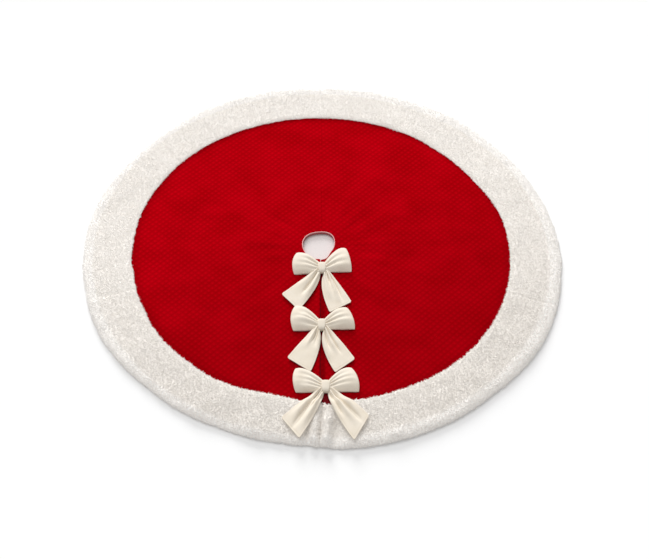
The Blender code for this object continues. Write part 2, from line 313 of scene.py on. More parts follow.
def clothMaterial(name, look, ownPattern=None):
    # cloth with a grain or weave, soft shading and a relief; ownPattern adds what only one cloth has
    material = bpy.data.materials.new(name)
    material.use_nodes = True
    wires = Wires(material.node_tree)
    shader = material.node_tree.nodes["Principled BSDF"]
    if look.get("cadNode"):
        place = wires.node("ShaderNodeTexCoord").outputs["Object"]
    else:
        place = wires.node("ShaderNodeAttribute", attribute_name="restPlace").outputs["Vector"]
    grain = wires.node("ShaderNodeGroup", node_tree=grainWires.tree)
    weave = wires.node("ShaderNodeGroup", node_tree=threadWires.tree)
    wear = wires.node("ShaderNodeGroup", node_tree=wearWires.tree)
    for group in (grain, weave, wear):
        wires.plug(place, group.inputs["Place"])
    grain.inputs["Size"].default_value = look["grainSize"]
    weave.inputs["Pitch"].default_value = look.get("threadPitch", 0.0009)
    wear.inputs["Size"].default_value = look.get("wearSize", 0.09)
    worn = wires.times(wear.outputs["Shade"], look.get("wearTone", 0.5))
    tone = wires.timesPlus(grain.outputs["Shade"], look.get("grainTone", 0.5), worn)
    colour = wires.mixed(tone, (*look["dark"], 1), (*look["light"], 1))
    height = wires.timesPlus(weave.outputs["Height"], look.get("weaveShare", 0.0), grain.outputs["Height"])
    if ownPattern:
        colour, height = ownPattern(wires, place, colour, height)
    relief = {"Strength": look.get("strength", 0.5), "Distance": look["relief"], "Height": height}
    settings = {
        "Base Color": colour,
        "Roughness": wires.timesPlus(grain.outputs["Shade"], 0.08, look["rough"] - 0.04),
        "Specular IOR Level": look.get("gloss", 0.2),
        "Sheen Weight": look.get("sheen", 0.0),
        "Sheen Roughness": 0.5,
        "Sheen Tint": (*look.get("sheenTint", look["light"]), 1),
        "Normal": wires.node("ShaderNodeBump", relief).outputs["Normal"],
    }
    if look.get("paintedGlow"):  # painted light: the cloth glows in its own colour, standing in for light passed on through it
        settings.update({"Emission Color": colour, "Emission Strength": look["paintedGlow"]})
    for label, value in settings.items():
        wires.plug(value, shader.inputs[label])
    return material


quiltCloth = {
    "pitch": 0.0122,  # between the stitched grooves
    "ways": (135.0, 48.5),  # degrees, across the stronger and the weaker grooves
    "roundness": (0.4, 0.55),  # the lower, the narrower the grooves
    "puff": 0.0006,
    "sway": 0.0030,
    "lift": {"left": 0.0016, "right": -0.0007},  # the left half lies over the right at the slit
    "liftFrom": 0.018,  # from the slit edge
    "past": 0.018,  # reach under the plush, past the red top
    "slitTurn": 0.0085,  # width turned down at the slit
    "slitDrop": 0.0055,
    "edgeFall": 0.0012,
    "edgeWidth": 0.004,
    "spare": 0.0021,  # cloth kept past each cut line, to be drawn on to it
    "waveTurns": 2.4,  # the soft waves run out from the hole
    "waveOut": 4.0,
    "waveScales": (1.6, 9.0),
    "waveWeight": 2.4,
    "quadsPerCell": 6,
    "cells": 86,
}
quiltShade = {
    "grooves": ((3.2, 0.27), (2.6, 0.11)),  # narrowness and depth of the painted shade in the grooves
    "grooveShadeTone": (0.10, 0.0, 0.0015, 1),
    "crown": (5.0, 0.28),
    "crownHighlightTone": (0.78, 0.0, 0.010, 1),
    "front": 0.38,
    "frontShadeTone": (0.16, 0.0, 0.002, 1),
    "slit": 0.55,
    "slitAt": 0.0035,
    "slitShadowTone": (0.07, 0.0, 0.001, 1),
    "furEdgeShade": 0.35,
    "furEdgeShadeTone": (0.15, 0.0, 0.002, 1),
}
latticeWays = []
for turn in quiltCloth["ways"]:
    turn = math.radians(turn)
    latticeWays.append(Vector((math.cos(turn), math.sin(turn), 0)) / quiltCloth["pitch"])


def shadeTowardsFront(wires, place, start, end):
    # mask for painted shade where the light falls off: 0 at the back, 1 at the front right
    parts = wires.parts(place)
    return wires.remap(wires.timesPlus(parts[0], -0.35, parts[1]), start, end)


def fromMiddle(wires, place):
    return wires.vector("LENGTH", wires.vector("MULTIPLY", place, (1.0, 1.0, 0.0)))


def quiltPattern(wires, place, colour, height):
    tones = quiltShade
    waves, grooves = [], []
    # painted shade: the red darker in the stitched grooves, more in some patches than in others
    for way, (sharp, depth) in zip(latticeWays, tones["grooves"]):
        turned = wires.times(wires.vector("DOT_PRODUCT", place, tuple(way)), math.pi)
        waves.append(wires.math("ABSOLUTE", wires.math("SINE", turned)))
        grooves.append(wires.times(wires.math("POWER", wires.minus(1.0, waves[-1]), sharp), depth))
    uneven = wires.remap(wires.grain(place, 22.0, 2.0), 0.35, 0.65, 0.55, 1.0)
    colour = wires.mixed(wires.times(wires.plus(*grooves), uneven), colour, tones["grooveShadeTone"])
    # painted highlight: the red lighter on the crown of each puff
    crown = wires.times(wires.math("POWER", wires.times(*waves), tones["crown"][0]), tones["crown"][1])
    colour = wires.mixed(crown, colour, tones["crownHighlightTone"])
    # painted shade: the red darker towards the front right, where the light falls off
    front = wires.times(shadeTowardsFront(wires, place, 0.30, -0.42), tones["front"])
    colour = wires.mixed(front, colour, tones["frontShadeTone"])
    parts = wires.parts(place)
    # painted shadow: the red darker along the slit at the front, centred just right of it, where the left
    # half's edge shades it
    slitShade = wires.remap(wires.math("ABSOLUTE", wires.minus(parts[0], tones["slitAt"])), 0.012, 0.001)
    slitShade = wires.times(slitShade, wires.remap(parts[1], -0.04, -0.07), tones["slit"])
    colour = wires.mixed(slitShade, colour, tones["slitShadowTone"])
    # painted shade: the red darker where it runs under the plush's inner edge
    furEdgeShade = wires.remap(fromMiddle(wires, place), redRadius - 0.02, redRadius + 0.006)
    return wires.mixed(wires.times(furEdgeShade, tones["furEdgeShade"]), colour, tones["furEdgeShadeTone"]), height


plushShade = {
    "frontFurShade": 0.9,  # painted shade: the plush darker towards the front right, where the light falls off
    "frontFurShadeTone": (0.68, 0.644, 0.602, 1),
    "rootShadeTone": (0.89, 0.855, 0.81, 1),
    "rimRootShadeTone": (0.91, 0.88, 0.845, 1),
    "rim": 0.35,
    "rimTone": (0.985, 0.97, 0.95, 1),
}


def plushPattern(wires, place, colour, height):
    tones = plushShade
    frontFurShade = wires.times(shadeTowardsFront(wires, place, 0.25, -0.60), tones["frontFurShade"])
    colour = wires.mixed(frontFurShade, colour, tones["frontFurShadeTone"])
    # painted shade: the tufts darker at their roots and lighter towards the tips, less so near the rim
    tip = wires.node("ShaderNodeAttribute", attribute_name="tip").outputs["Fac"]
    band = wires.remap(fromMiddle(wires, place), rimRadius - 0.034, rimRadius - 0.022)
    root = wires.mixed(band, tones["rootShadeTone"], tones["rimRootShadeTone"])
    colour = wires.mixed(wires.remap(tip, 0.0, 0.75, 0.25, 1.0, False), root, colour)
    return wires.mixed(wires.times(band, tones["rim"]), colour, tones["rimTone"]), height


hemShade = {"line": ((0.0042, 0.0049), (0.0062, 0.0053)), "depth": 0.3, "tone": (0.62, 0.52, 0.40, 1),
            "groove": 1.2}


def hemPattern(wires, place, colour, height):
    # hemPlace holds how far a point is from the ribbon's nearest edge, in metres
    edge = wires.node("ShaderNodeAttribute", attribute_name="hemPlace").outputs["Fac"]
    line = wires.times(*[wires.remap(edge, low, high) for low, high in hemShade["line"]])
    colour = wires.mixed(wires.times(line, hemShade["depth"]), colour, hemShade["tone"])
    return colour, wires.minus(height, wires.times(line, hemShade["groove"]))


def bindingPattern(wires, place, colour, height):
    low = wires.remap(wires.parts(place)[2], 0.0070, 0.0086)
    return wires.mixed(low, (0.42, 0.12, 0.12, 1), colour), height


ribPitch = 0.0018


def ribPattern(wires, place, colour, height):
    turned = wires.times(wires.parts(place)[0], math.pi / ribPitch)
    rib = wires.math("ABSOLUTE", wires.math("SINE", turned))
    return wires.mixed(rib, (0.09, 0.001, 0.004, 1), colour), wires.timesPlus(rib, 0.8, height)


redLook = {"light": (0.455, 0.0, 0.0045), "dark": (0.32, 0.0, 0.002), "grainSize": 0.0011, "relief": 0.0005,
           "rough": 0.92, "gloss": 0.0, "sheen": 0.08, "sheenTint": (0.9, 0.0, 0.01), "grainTone": 0.4,
           "wearTone": 0.6}
# the plush's glow is painted light that lifts its shade
plushLook = {"light": (0.893, 0.864, 0.836), "dark": (0.853, 0.818, 0.776), "grainSize": 0.0016,
             "relief": 0.0012, "rough": 0.95, "gloss": 0.05, "sheen": 0.25, "wearSize": 0.05,
             "grainTone": 0.6, "wearTone": 0.4, "paintedGlow": 0.17}
bowLook = {"light": (0.75, 0.685, 0.59), "dark": (0.69, 0.615, 0.505), "grainSize": 0.0007, "relief": 0.00018,
           "rough": 0.85, "gloss": 0.12, "sheen": 0.35, "sheenTint": (1.0, 0.97, 0.92), "wearSize": 0.03,
           "wearTone": 0.5, "threadPitch": 0.0009, "weaveShare": 0.25}
liningLook = {"light": (0.34, 0.005, 0.012), "dark": (0.26, 0.003, 0.009), "grainSize": 0.0008,
              "relief": 0.0002, "rough": 0.8, "gloss": 0.15, "threadPitch": 0.0011, "weaveShare": 1.2}
bindingLook = {"light": (0.86, 0.58, 0.56), "dark": (0.72, 0.36, 0.36), "grainSize": 0.0006, "relief": 0.0002,
               "rough": 0.8, "gloss": 0.15, "weaveShare": 0.4}
darkLook = {"light": (0.24, 0.003, 0.009), "dark": (0.16, 0.002, 0.006), "grainSize": 0.0007,
            "relief": 0.0003, "rough": 0.85, "gloss": 0.1, "threadPitch": 0.0012, "weaveShare": 0.8}

redQuilt = clothMaterial("redQuilt", redLook, quiltPattern)
creamPlush = clothMaterial("creamPlush", plushLook, plushPattern)
# the bows' glow is painted light that softens the shading of their loops and tails
bowVelvet = clothMaterial("bowVelvet", {**bowLook, "paintedGlow": 0.07}, hemPattern)
knotVelvet = clothMaterial("knotVelvet", bowLook)
redLining = clothMaterial("redLining", liningLook)
roseBinding = clothMaterial("roseBinding", bindingLook, bindingPattern)
ribbedPlacket = clothMaterial("ribbedPlacket", darkLook, ribPattern)
darkFacing = clothMaterial("darkFacing", {**darkLook, "cadNode": True})
hookTape = clothMaterial("hookTape", {**darkLook, "cadNode": True, "light": (0.20, 0.006, 0.012),
                                      "grainSize": 0.0004, "relief": 0.0006, "strength": 0.9,
                                      "weaveShare": 0.2})
creamThread = clothMaterial("creamThread", {**bowLook, "light": (0.88, 0.82, 0.72), "relief": 0.0001,
                                            "weaveShare": 0.6})
redThread = clothMaterial("redThread", {**darkLook, "light": (0.42, 0.004, 0.012), "relief": 0.0001,
                                        "weaveShare": 0.6})


# the plush border's measures, which the cloth under it follows too

plush = {
    "height": furLevel - 0.0045,  # of the backing under the tufts
    "innerLevel": redLevel + 0.0012,
    "shoulder": 0.016,
    "roll": 0.018,
    "rimLevel": 0.0035,
    "inset": 0.0024,  # the tufts reach on to the full radius
    "innerEdge": 0.0058,  # past the red top's edge, where the tufts fall back over it
    "innerBumps": [(30, -0.005, 8), (42, -0.006, 12), (218, 0.006, 10), (238, 0.006, 9), (256, -0.006, 7),
                   (271.6, 0.008, 1.6), (318, 0.004, 22)],
    "rimBumps": [(0, 0.004, 16), (30, 0.002, 18), (54, 0.006, 10), (75, 0.007, 18), (108, 0.006, 12),
                 (121, 0.0045, 7), (146, -0.007, 16), (190, -0.003, 14), (228, -0.008, 12),
                 (270.6, -0.007, 2.2), (315, -0.003, 9), (332, 0.007, 16)],
    "slit": (0.0040, -0.0048),  # the slit's place at the inner and outer edge
    "ridges": [(-0.0140, 0.0075, 0.0080), (-0.0310, -0.0060, 0.0085), (0.0150, 0.0100, 0.0095),
               (0.0370, -0.0060, 0.0120), (-0.1500, 0.0030, 0.0180), (-0.2000, -0.0024, 0.0180),
               (0.1900, 0.0028, 0.0220)],
    "lumps": [(0.0010, 1.1, 0.036, 3.1), (0.0004, 0.6, 0.013, 7.7), (0.0014, 1.0, 0.11, 1.7)],
    "wander": [(0.0018, 0.055, 5.3), (0.0012, 0.019, 9.1)],  # of the edges
    "seam": (0.0016, 0.0035),  # depth and width
    "slitRound": 0.010,
    "under": 0.0022,
    "step": -0.0100,  # the left length's rim ends further in than the right one's
}


def plushInner(degrees):
    return redRadius + plush["innerEdge"] + bumps(degrees, plush["innerBumps"])


def plushRim(degrees):
    step = plush["step"] * smoothStep(degrees, 232, 250) * (1 - smoothStep(degrees, 267.4, 269.8))
    return rimRadius - plush["inset"] + bumps(degrees, plush["rimBumps"]) + step


# red quilted top, in two halves that meet at the slit and at the back

print("red quilted top")

# a hand-cut hole, not quite round: how far it bulges, at which angle, and how narrowly
holeShape = {"radius": 0.85 * holeRadius, "right": -0.0077, "back": 0.0080, "clothGap": 0.0008,
             "bulges": [(64, 0.0075, 7.0), (281, 0.0113, 9.0), (235, 0.0091, 9.0), (132, 0.0028, 8.0)]}


def holeEdge(angle):
    offset = holeShape["right"] * np.cos(angle) + holeShape["back"] * np.sin(angle)
    swell = 0
    for at, rise, narrow in holeShape["bulges"]:
        swell = swell + rise * np.exp(narrow * (np.cos(angle - math.radians(at)) - 1))
    return holeShape["radius"] + offset + swell


quiltWires, quiltIn, quiltOut = newGroup("quiltedHalf", "GeometryNodeTree", {
    "Cells": 86, "Quads per Cell": 6, "Across First": "Vector", "Across Second": "Vector", "Side": 1.0,
    "Slit": 0.0, "Lift": 0.0, "Puff": 0.001, "Sway": 0.001, "Level": 0.009, "Outer Radius": 0.48,
    "Material": "Material",
}, {"Geometry": "Geometry"})


def buildQuiltTree(w, given, result):
    form = quiltCloth
    lines = w.timesPlus(given["Cells"], given["Quads per Cell"], 1.0)
    cloth = w.node("GeometryNodeMeshGrid", {"Size X": given["Cells"], "Size Y": given["Cells"],
                                            "Vertices X": lines, "Vertices Y": lines}).outputs["Mesh"]
    here = w.parts(w.position())[:2]
    humps = [w.math("POWER", w.math("ABSOLUTE", w.math("SINE", w.times(way, math.pi))), power)
             for way, power in zip(here, form["roundness"])]
    laid = w.joined(z=w.times(*humps))
    for label, share in zip(("Across Second", "Across First"), here[::-1]):
        laid = w.vector("ADD", w.scaled(given[label], share), laid)
    cloth = w.node("GeometryNodeSetPosition", {"Geometry": cloth, "Position": laid}).outputs[0]

    # what lies past the slit edge, inside the hole or past the outer radius is cut away
    x, y, puff = w.parts(w.position())
    front = w.math("LESS_THAN", y, 0.0)
    line = w.times(front, given["Slit"])
    inside = w.times(given["Side"], w.minus(x, line))
    level = w.joined(x, y)
    reach = w.math("MAXIMUM", w.vector("LENGTH", level), 0.001)
    cosine, sine = w.math("DIVIDE", x, reach), w.math("DIVIDE", y, reach)
    hole = w.timesPlus(cosine, holeShape["right"], holeShape["radius"] + holeShape["clothGap"])
    hole = w.timesPlus(sine, holeShape["back"], hole)
    for at, rise, narrow in holeShape["bulges"]:
        at = math.radians(at)
        facing = w.timesPlus(cosine, math.cos(at), w.times(sine, math.sin(at)))
        hole = w.timesPlus(w.math("EXPONENT", w.timesPlus(facing, narrow, -narrow)), rise, hole)
    past = w.math("LESS_THAN", inside, w.timesPlus(front, -form["slitTurn"], -form["spare"]))
    outside = w.math("GREATER_THAN", reach, w.plus(given["Outer Radius"], form["spare"]))
    within = w.math("LESS_THAN", reach, w.minus(hole, form["spare"]))
    cut = {"Geometry": cloth, "Selection": w.math("GREATER_THAN", w.plus(past, outside, within), 0.5)}
    cloth = w.node("GeometryNodeDeleteGeometry", cut, domain="FACE").outputs[0]

    # the rest is drawn on to the cut lines, waved, and rounded down at the slit
    kept = w.math("MAXIMUM", inside, 0.0)
    sideways = w.timesPlus(given["Side"], kept, line)
    rounding = w.timesPlus(w.remap(kept, 0.0, form["edgeWidth"]), -form["edgeFall"], form["edgeFall"])
    raised = w.times(front, given["Lift"], w.remap(kept, form["liftFrom"], 0.001))
    beyond = w.times(front, w.math("MAXIMUM", w.times(inside, -1.0), 0.0))
    drop = w.math("MINIMUM", beyond, form["slitDrop"])
    fit = w.math("DIVIDE", w.math("MINIMUM", w.math("MAXIMUM", reach, hole), given["Outer Radius"]), reach)
    turned = w.joined(w.times(cosine, form["waveTurns"]), w.times(sine, form["waveTurns"]),
                      w.times(reach, form["waveOut"]))
    radial, gentle = (w.minus(w.grain(place, scale, 1.0), 0.5)
                      for place, scale in zip((turned, level), form["waveScales"]))
    fade = w.times(w.remap(reach, 0.055, 0.13), w.remap(reach, redRadius + 0.008, redRadius - 0.045))
    sway = w.times(w.timesPlus(radial, form["waveWeight"], gentle), given["Sway"], fade)
    height = w.timesPlus(w.minus(puff, 0.7), given["Puff"], given["Level"])
    height = w.minus(w.plus(height, sway, raised), w.times(front, rounding), drop)
    final = w.joined(w.times(sideways, fit), w.times(y, fit), height)
    cloth = w.node("GeometryNodeSetPosition", {"Geometry": cloth, "Position": final}).outputs[0]
    cloth = w.node("GeometryNodeStoreNamedAttribute",
                   {"Geometry": cloth, "Name": "restPlace", "Value": w.position()},
                   data_type="FLOAT_VECTOR", domain="POINT").outputs[0]
    w.finishCloth(cloth, given["Material"], result)


buildQuiltTree(quiltWires, quiltIn, quiltOut)
lattice = Matrix((latticeWays[0][:2], latticeWays[1][:2])).inverted()
flatRadius = redRadius + quiltCloth["past"]
for side, sign in (("left", -1.0), ("right", 1.0)):
    half = grow(f"red_quilt_{side}", quiltWires.tree, {
        "Cells": quiltCloth["cells"], "Quads per Cell": quiltCloth["quadsPerCell"],
        "Across First": (*lattice.col[0], 0.0), "Across Second": (*lattice.col[1], 0.0),
        "Side": sign, "Slit": slitEdge[side], "Lift": quiltCloth["lift"][side], "Puff": quiltCloth["puff"],
        "Sway": quiltCloth["sway"], "Level": redLevel, "Outer Radius": flatRadius, "Material": redQuilt,
    })
    bendAt(half)
    taken = [f"red_top_{side}", f"wadding_{side}"]
    if side == "left":
        taken += ["red_top_back", "wadding_back"]
    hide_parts(*taken)
    print("  ", half.name, len(half.data.polygons), "faces")


# lining under the whole skirt

print("lining, hole binding and placket")

liningCloth = {"inset": 0.0008, "hidden": 0.009, "level": 0.0006, "wave": 0.00015, "rings": 70, "spokes": 320}


def halfTurn(side, count):
    # angles from the back middle round to the slit edge
    lean = math.degrees(math.asin(slitEdge[side] / slitReach))
    return np.radians(np.linspace(90.0, (270.0 if side == "left" else -90.0) + lean, count))


for side in ("left", "right"):
    angles = halfTurn(side, liningCloth["spokes"])
    rings = []
    for angle in angles:
        inner = holeEdge(angle) + liningCloth["inset"]
        outer = min(liningRadius, plushRim(math.degrees(angle) % 360) - liningCloth["hidden"])
        reach = np.linspace(inner, outer, liningCloth["rings"])
        x, y = reach * math.cos(angle), reach * math.sin(angle)
        if y[0] < 0:
            limit = slitEdge[side]
            x = np.minimum(x, limit) if side == "left" else np.maximum(x, limit)
        z = liningCloth["level"] + liningCloth["wave"] * np.sin(angle * 14 + reach * 60)
        rings.append(np.stack([x, y, z], 1))
    points = np.concatenate(rings)
    faces = gridFaces(len(angles), liningCloth["rings"])
    if side == "right":
        faces = [f[::-1] for f in faces]
    name = f"lining_{side}_cloth"
    lining = newObject(name, meshFrom(name, points, faces, redLining))
    if lining.data.polygons[0].normal.z > 0:
        lining.data.flip_normals()
    bendAt(lining)
    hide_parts(f"lining_{side}", *(["lining_back"] if side == "left" else []))


# turned binding round the trunk hole

bindingEdge = [  # outwards from the hole's edge, and the height, in metres
    (0.0004, 0.0003), (0.0, 0.0012), (-0.0002, 0.0040), (-0.0001, 0.0070), (-0.0005, 0.0080),
    (-0.0004, 0.0088), (0.0000, 0.0094), (0.0006, 0.0096), (0.0012, 0.0095), (0.0016, 0.0090),
    (0.0016, 0.0084), (0.0012, 0.0078),
    (0.0014, 0.0040), (0.0013, 0.0008), (0.0008, 0.0003),
]

bindingForm = {"spokes": 110, "middle": (0.0006, 0.005), "closing": 0.7,
               "wander": ((0.00018, 41, 0), (0.00012, 97, 1))}

for side in ("left", "right"):
    angles = halfTurn(side, bindingForm["spokes"])
    midOut, midLevel = bindingForm["middle"]
    closing = bindingForm["closing"]
    rows = []
    for k, angle in enumerate(angles):
        base = holeEdge(angle)
        end = min(1.0, (len(angles) - 1 - k) / 2 + 0.05)
        ring = []
        for out, level in bindingEdge:
            wander = sum(size * math.sin(angle * waves + at) for size, waves, at in bindingForm["wander"])
            reach = base + midOut + (out - midOut) * end + wander
            x, y = reach * math.cos(angle), reach * math.sin(angle)
            if y < 0:
                x = min(x, slitEdge[side]) if side == "left" else max(x, slitEdge[side])
            ring.append((x, y, midLevel + (level - midLevel) * (1 - closing + closing * end)))
        rows.append(ring)
    count = len(bindingEdge)
    faces = gridFaces(len(rows), count, closeColumns=True)
    faces += tubeEnds(len(rows), count)
    name = f"hole_binding_{side}_cloth"
    binding = newObject(name, meshFrom(name, [p for r in rows for p in r], faces, roseBinding))
    facesOutward(binding.data)
    bendAt(binding)
    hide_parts(f"hole_binding_{side}", *(["hole_binding_back"] if side == "left" else []))


# placket under the slit, with the end that shows below the last bow

def ribbedStrip(name, low, high, ribs, height):
    columns, rows = ribs * 4 + 1, max(8, int((high[1] - low[1]) / 0.006))
    ribLevels = [low[2] + height * (0.5 - 0.5 * math.cos(k * math.pi / 2)) for k in range(columns)]
    points = []
    for y in np.linspace(low[1], high[1], rows):
        for across, level in zip(np.linspace(low[0], high[0], columns), ribLevels):
            points.append((across, y + 0.0002 * math.sin(across * 700), level))
    strip = newObject(name, meshFrom(name, points, gridFaces(rows, columns), ribbedPlacket))
    if strip.data.polygons[0].normal.z < 0:
        strip.data.flip_normals()
    thick = strip.modifiers.new("thickness", "SOLIDIFY")
    thick.thickness = 0.0008
    thick.offset = -1
    settle(strip)
    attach(strip, "right_flap")
    return strip


low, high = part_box("underlap_placket")
placket = ribbedStrip("placket_cloth", (low.x, low.y, high.z - 0.0004), (high.x, high.y, high.z), 36, 0.0003)
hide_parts("underlap_placket")
knotLow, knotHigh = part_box("bow_3_knot")
knotMiddle = (knotLow + knotHigh) / 2
tongue = ribbedStrip("placket_end_cloth", (knotMiddle.x - 0.0085, -redRadius - 0.0135, redLevel + 0.0011),
                     (knotMiddle.x + 0.0075, knotMiddle.y, redLevel + 0.0011), 8, 0.0004)
for name, node in frame["nodes"].items():
    if name.startswith("slit_facing"):
        node.data.materials[0] = darkFacing
    elif name.startswith(("hook_tab", "loop_patch")):
        node.data.materials[0] = hookTape


# plush border, five padded lengths with tufts

print("plush border")

tufts = {"density": 200000.0, "length": 0.0046, "width": 0.0015, "stand": 0.30, "comb": 0.16, "curl": 0.80,
         "bend": 1.6, "sizes": (0.82, 1.15), "lowest": 0.0002, "seed": 11}


def slitPlace(reach):
    share = np.clip((reach - redRadius) / (rimRadius - redRadius), 0, 1)
    return plush["slit"][0] + (plush["slit"][1] - plush["slit"][0]) * share


def plushTop(x, y, reach, inner, rim, fluff):
    # height of the backing, without lumps
    share = np.clip((reach - inner) / (rim - inner), 0, 1)
    width = rim - inner
    top = plush["height"] + 0.0012 * fluff
    shoulder = np.sqrt(smoothStep(share * width, -0.002, plush["shoulder"]))
    risen = plush["innerLevel"] + (top - plush["innerLevel"]) * shoulder
    away = np.clip((1 - share) * width / plush["roll"], 0, 1)
    height = plush["rimLevel"] + (risen - plush["rimLevel"]) * np.sqrt(1 - (1 - away) ** 2)
    near = smoothStep(share, 0.12, 0.45) * (y < 0)
    q = x - slitPlace(reach)
    for middle, rise, spread in plush["ridges"]:
        ridge = rise * np.exp(-(((q - middle) / spread) ** 2))
        height = height + near * ridge * np.minimum(1, away * 1.4 + 0.25)
    return height


# places across a length, from the inner edge over the top to the rim, then back underneath
topShares = np.concatenate([[0, 0.010, 0.028, 0.052, 0.08], np.linspace(0.115, 0.85, 27),
                            [0.88, 0.905, 0.93, 0.952, 0.972, 0.988, 0.997, 1.0]])
underShares = np.array([0.998, 0.985, 0.95, 0.88, 0.75, 0.5, 0.25, 0.085, 0.07, 0.0])


def plushBacking(name, start, end, fluff):
    slitAt = "end" if abs(end - 270) < 1 else "start" if abs(start - 270) < 1 else None
    steps = np.linspace(0, 1, 190)
    if slitAt:
        close = np.array([0.0, 0.0006, 0.0014, 0.0026, 0.004, 0.0058]) / 0.66
        steps = np.concatenate([close, np.linspace(0.0105, 1, 184)])
        steps = 1 - steps[::-1] if slitAt == "end" else steps
    rows, soft, way = [], [], []
    for step in steps:
        middle = start + (end - start) * step
        inner, rim = plushInner(middle), plushRim(middle)
        shares = np.concatenate([topShares, underShares])
        reach = inner + (rim - inner) * shares
        a0 = np.full_like(reach, math.radians(start))
        a1 = np.full_like(reach, math.radians(end))
        lean = np.arcsin(slitPlace(reach) / reach)
        if slitAt == "end":
            a1 = math.radians(270) + lean
        elif slitAt == "start":
            a0 = math.radians(270) + lean
        angle = a0 + (a1 - a0) * step
        x, y = reach * np.cos(angle), reach * np.sin(angle)
        top = plushTop(x, y, reach, inner, rim, fluff)
        under = np.where(reach < redRadius + 0.0195, plush["innerLevel"] - 0.0016, plush["under"])
        under = np.where(shares > 0.93, 0.0004 + 0.0018 * (shares - 0.93) / 0.07, under)
        z = top.copy()
        z[len(topShares):] = under[len(topShares):]
        if slitAt:
            gone = np.abs((a1 if slitAt == "end" else a0) - angle) * reach
            cap = np.sqrt(1 - (1 - np.minimum(gone / plush["slitRound"], 1)) ** 2)
            z = under + (z - under) * cap
        for seam in [a for a in (start, end) if abs(a - 270) > 1]:
            away = abs(math.radians(middle - seam)) * reach[:len(topShares)]
            z[:len(topShares)] -= plush["seam"][0] * np.exp(-((away / plush["seam"][1]) ** 2))
        rows.append(np.stack([x, y, z], 1))
        outward = np.stack([x / reach, y / reach, np.zeros_like(x)], 1)
        facing = np.where(shares < 0.06, -1.6, 0.45 + 0.9 * smoothStep(shares, 0.7, 1.0))[:, None]
        down = np.where(shares > 0.98, -0.35, 0.0)[:, None]
        way.append(outward * facing + np.array([0, 0, 1]) * down)
        strength = np.ones_like(reach)
        strength[len(topShares) + 1:] = 0
        soft.append(strength)
    count = len(topShares) + len(underShares)
    points = np.concatenate(rows)
    lift = 0
    for rise, more, size, seed in plush["lumps"]:
        lift = lift + rise * (1 + more * fluff) * lump(points, size, seed)
    isTop = np.tile(np.arange(count) < len(topShares), len(steps))
    loose = np.minimum(1, topShares * 12) * np.minimum(1, (1 - topShares) * 14)
    firm = np.tile(np.concatenate([loose, np.zeros(len(underShares))]), len(steps))
    points[:, 2] += np.where(isTop, lift * firm, 0)
    spread = sum(rise * lump(points, size, seed) for rise, size, seed in plush["wander"])
    reach = np.hypot(points[:, 0], points[:, 1])
    edge = np.tile(np.abs(np.concatenate([topShares, underShares]) - 0.5) * 2, len(steps)) ** 4
    points[:, :2] *= (1 + edge * spread / reach)[:, None]
    faces = gridFaces(len(steps), count, closeColumns=True)
    faces += tubeEnds(len(steps), count)
    mesh = meshFrom(name, points, faces, creamPlush)
    for label, kind, field, values in (("plush", "FLOAT", "value", np.concatenate(soft)),
                                       ("combWay", "FLOAT_VECTOR", "vector", np.concatenate(way).ravel())):
        mesh.attributes.new(label, kind, "POINT").data.foreach_set(field, values.astype(np.float32))
    facesOutward(mesh, weldWithin)
    mesh.shade_smooth()
    return mesh


tuftWires, tuftIn, tuftOut = newGroup("plushTufts", "GeometryNodeTree", {
    "Backing": "Geometry", "Density": 1000.0, "Length": 0.006, "Width": 0.0015, "Stand": 0.5, "Comb": 0.5,
    "Curl": 0.5, "Seed": 1, "Material": "Material",
}, {"Geometry": "Geometry"})


